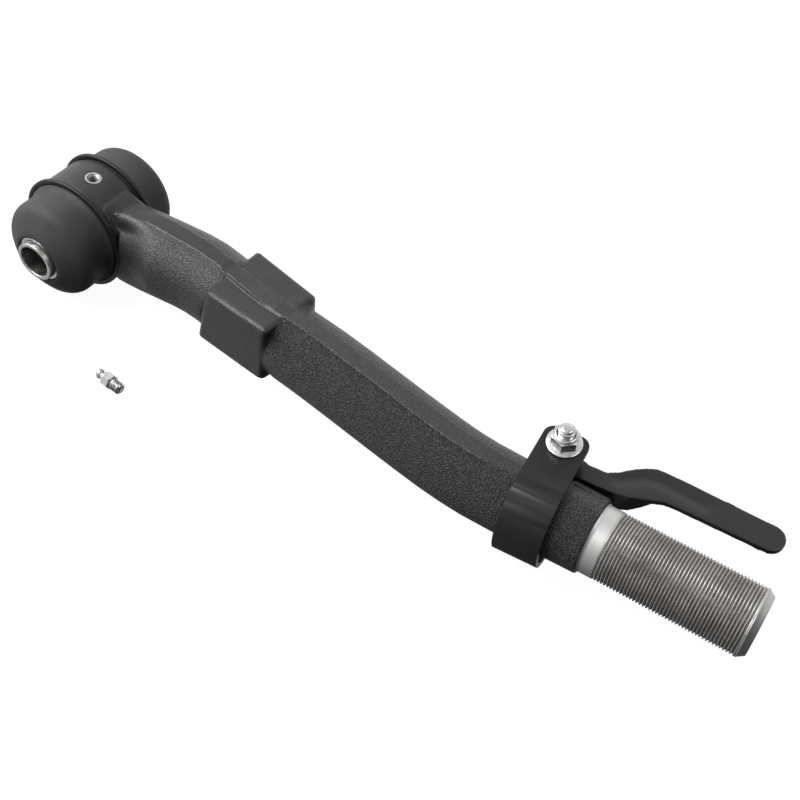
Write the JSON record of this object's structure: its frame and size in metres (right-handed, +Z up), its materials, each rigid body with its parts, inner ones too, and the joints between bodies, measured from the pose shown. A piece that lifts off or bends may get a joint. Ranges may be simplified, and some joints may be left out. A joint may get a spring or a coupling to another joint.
{
  "type": "tie rod end",
  "caption": "Bent forged tie rod end with a rubber-booted ball joint on a through-sleeve, a square wrench block, a left-hand threaded shank and a loose strap clamp",
  "frame": {"origin": "on the floor, under the middle of the whole object's bounding box", "axes": "+X runs along the rod from the joint head to the threaded tip, +Y along the head's sleeve towards the side the strap clamp's ears point to, +Z up"},
  "size_m": [0.552, 0.1468, 0.0868],
  "materials": {
    "black_forging": "blasted and painted satin black",
    "bare_steel": "turned bare steel",
    "zinc_plated_steel": "bright zinc plate",
    "black_coated_steel": "smooth satin black coat",
    "boot_rubber": "matt moulded rubber",
    "liner_plastic": "plain"
  },
  "bodies": {
    "root": {"forged_bar": "black_forging", "race_near": "bare_steel", "race_far": "bare_steel", "preload_spring": "bare_steel", "snap_ring_near": "bare_steel", "snap_ring_far": "bare_steel", "boot_near": "boot_rubber", "boot_far": "boot_rubber", "boot_clamp_ring_near": "black_coated_steel", "boot_clamp_ring_far": "black_coated_steel"},
    "liner": {"ball_liner": "liner_plastic"},
    "boot_lips": {"boot_lip_ring_near": "bare_steel", "boot_lip_ring_far": "bare_steel"},
    "sleeve": {"inner_sleeve": "zinc_plated_steel", "ball": "bare_steel"},
    "clamp": {"clamp_band": "black_coated_steel", "clamp_stud": "zinc_plated_steel"},
    "nut": {"flange_nut": "zinc_plated_steel"},
    "finger": {"finger_bracket": "black_coated_steel"},
    "fitting": {"grease_fitting_body": "zinc_plated_steel", "grease_fitting_spring": "bare_steel"},
    "check_ball": {"grease_fitting_ball": "bare_steel"}
  },
  "joints": [
    {"name": "sleeve_tilt_x", "type": "hinge", "parent": "root", "child": "liner", "pos_m": [-0.235, 0.01694, 0.041], "axis": [1, 0, 0], "range_deg": [-10, 10], "deforming": ["boot_near", "boot_far"]},
    {"name": "sleeve_tilt_z", "type": "hinge", "parent": "liner", "child": "boot_lips", "pos_m": [-0.235, 0.01694, 0.041], "axis": [0, 0, 1], "range_deg": [-10, 10], "deforming": ["boot_near", "boot_far"]},
    {"name": "sleeve_spin", "type": "hinge", "parent": "boot_lips", "child": "sleeve", "pos_m": [-0.235, 0.01694, 0.041], "axis": [0, 1, 0], "continuous": true},
    {"name": "clamp_slide", "type": "slide", "parent": "root", "child": "clamp", "axis": [1, 0, 0], "range_m": [-0.01, 0.11]},
    {"name": "nut_spin", "type": "hinge", "parent": "clamp", "child": "nut", "pos_m": [0.13648, 0.00501, 0.06137], "axis": [0.0079, -0.1129, 0.9936], "continuous": true},
    {"name": "finger_swing", "type": "hinge", "parent": "clamp", "child": "finger", "pos_m": [0.13648, 0.00501, 0.06137], "axis": [0.0079, -0.1129, 0.9936], "range_deg": [0, 70]},
    {"name": "fitting_lift", "type": "slide", "parent": "root", "child": "fitting", "axis": [0, 0, 1], "range_m": [0, 0.03]},
    {"name": "check_ball_slide", "type": "slide", "parent": "fitting", "child": "check_ball", "axis": [0.9895, -0.1444, 0], "range_m": [0, 0.0008], "stiffness_N_per_m": 20, "deforming": ["grease_fitting_spring"]}
  ]
}
